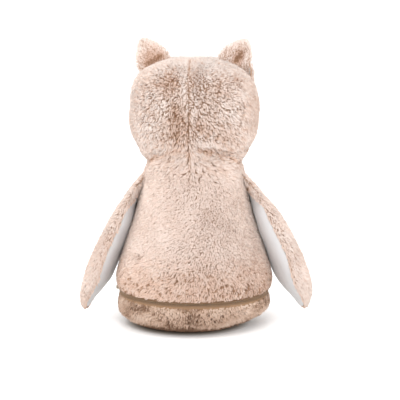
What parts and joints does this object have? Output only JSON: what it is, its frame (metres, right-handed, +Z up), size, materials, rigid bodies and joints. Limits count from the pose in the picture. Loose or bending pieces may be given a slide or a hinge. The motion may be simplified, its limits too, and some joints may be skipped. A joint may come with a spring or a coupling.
{
  "type": "plush owl",
  "caption": "Stuffed beige plush owl that stands on a round zipped base, with hanging white-lined wings, triangular ears and removable stuffing pods.",
  "frame": {"origin": "middle of the flat sole that the owl stands on", "axes": "+Z up through the head; the owl faces -Y, so its left wing is on +X"},
  "size_m": [0.3109, 0.2342, 0.3898],
  "materials": {
    "plush": "short dense beige plush with a clumped pile",
    "base_plush": "the same plush, darker and browner round the base",
    "white_nap": "smooth white short-nap fabric",
    "zip_cloth": "woven tan zip tape",
    "zip_coil": "tan nylon coil",
    "zip_metal": "tan painted zinc",
    "stuffing": "white non-woven bag full of polyester fibre",
    "black_plastic": "polished black plastic",
    "clear_plastic": "natural plastic",
    "tan_felt": "tan felt"
  },
  "bodies": {
    "body": {"body_back_left": "plush", "body_back_right": "plush", "tummy_panel": "white_nap", "base_front": "base_plush", "body_pod": "stuffing", "zip_tape_upper": "zip_cloth", "zip_coil_upper": "zip_coil", "zip_stop_left": "zip_metal", "zip_stop_right": "zip_metal", "foot_left": "tan_felt", "foot_right": "tan_felt"},
    "base_flap": {"base_back": "base_plush", "zip_tape_lower": "zip_cloth", "zip_coil_lower": "zip_coil"},
    "slider": {"zip_slider": "zip_metal"},
    "puller": {"zip_puller": "zip_metal"},
    "head": {"head_back_left": "plush", "head_back_right": "plush", "face_panel": "plush", "head_pod": "stuffing", "face_disc_left": "white_nap", "face_disc_right": "white_nap", "beak": "tan_felt", "eye_left": "black_plastic", "eye_right": "black_plastic", "eye_washer_left": "clear_plastic", "eye_washer_right": "clear_plastic"},
    "wing_left": {"wing_cover_left": "plush", "wing_lining_left": "white_nap", "wing_fill_left": "stuffing"},
    "ear_left": {"ear_back_left": "plush", "ear_lining_left": "white_nap"},
    "wing_right": {"wing_cover_right": "plush", "wing_lining_right": "white_nap", "wing_fill_right": "stuffing"},
    "ear_right": {"ear_back_right": "plush", "ear_lining_right": "white_nap"}
  },
  "joints": [
    {"name": "base_open", "type": "hinge", "parent": "body", "child": "base_flap", "pos_m": [0, 0.006, 0], "axis": [-1, 0, 0], "range_deg": [0, 85]},
    {"name": "zip_travel", "type": "hinge", "parent": "body", "child": "slider", "pos_m": [0, 0, 0.046], "axis": [0, 0, 1], "range_deg": [0, 186.7]},
    {"name": "puller_swing", "type": "hinge", "parent": "slider", "child": "puller", "pos_m": [0.10502, -0.00622, 0.046], "axis": [0, 0, 1], "range_deg": [0, 170]},
    {"name": "head_nod", "type": "hinge", "parent": "body", "child": "head", "pos_m": [0, 0, 0.2], "axis": [1, 0, 0], "range_deg": [-12, 12], "stiffness_Nm_per_rad": 1.5},
    {"name": "wing_left_lift", "type": "hinge", "parent": "body", "child": "wing_left", "pos_m": [0.076, 0, 0.197], "axis": [-0.1456, -0.9877, -0.0573], "range_deg": [0, 100]},
    {"name": "ear_left_fold", "type": "hinge", "parent": "head", "child": "ear_left", "pos_m": [0.05452, 0.002, 0.35748], "axis": [-0.8746, 0, 0.4848], "range_deg": [-25, 25], "stiffness_Nm_per_rad": 0.08},
    {"name": "wing_right_lift", "type": "hinge", "parent": "body", "child": "wing_right", "pos_m": [-0.076, 0, 0.197], "axis": [-0.272, 0.9563, 0.1071], "range_deg": [0, 100]},
    {"name": "ear_right_fold", "type": "hinge", "parent": "head", "child": "ear_right", "pos_m": [-0.05452, 0.002, 0.35748], "axis": [-0.8746, 0, -0.4848], "range_deg": [-25, 25], "stiffness_Nm_per_rad": 0.08}
  ]
}
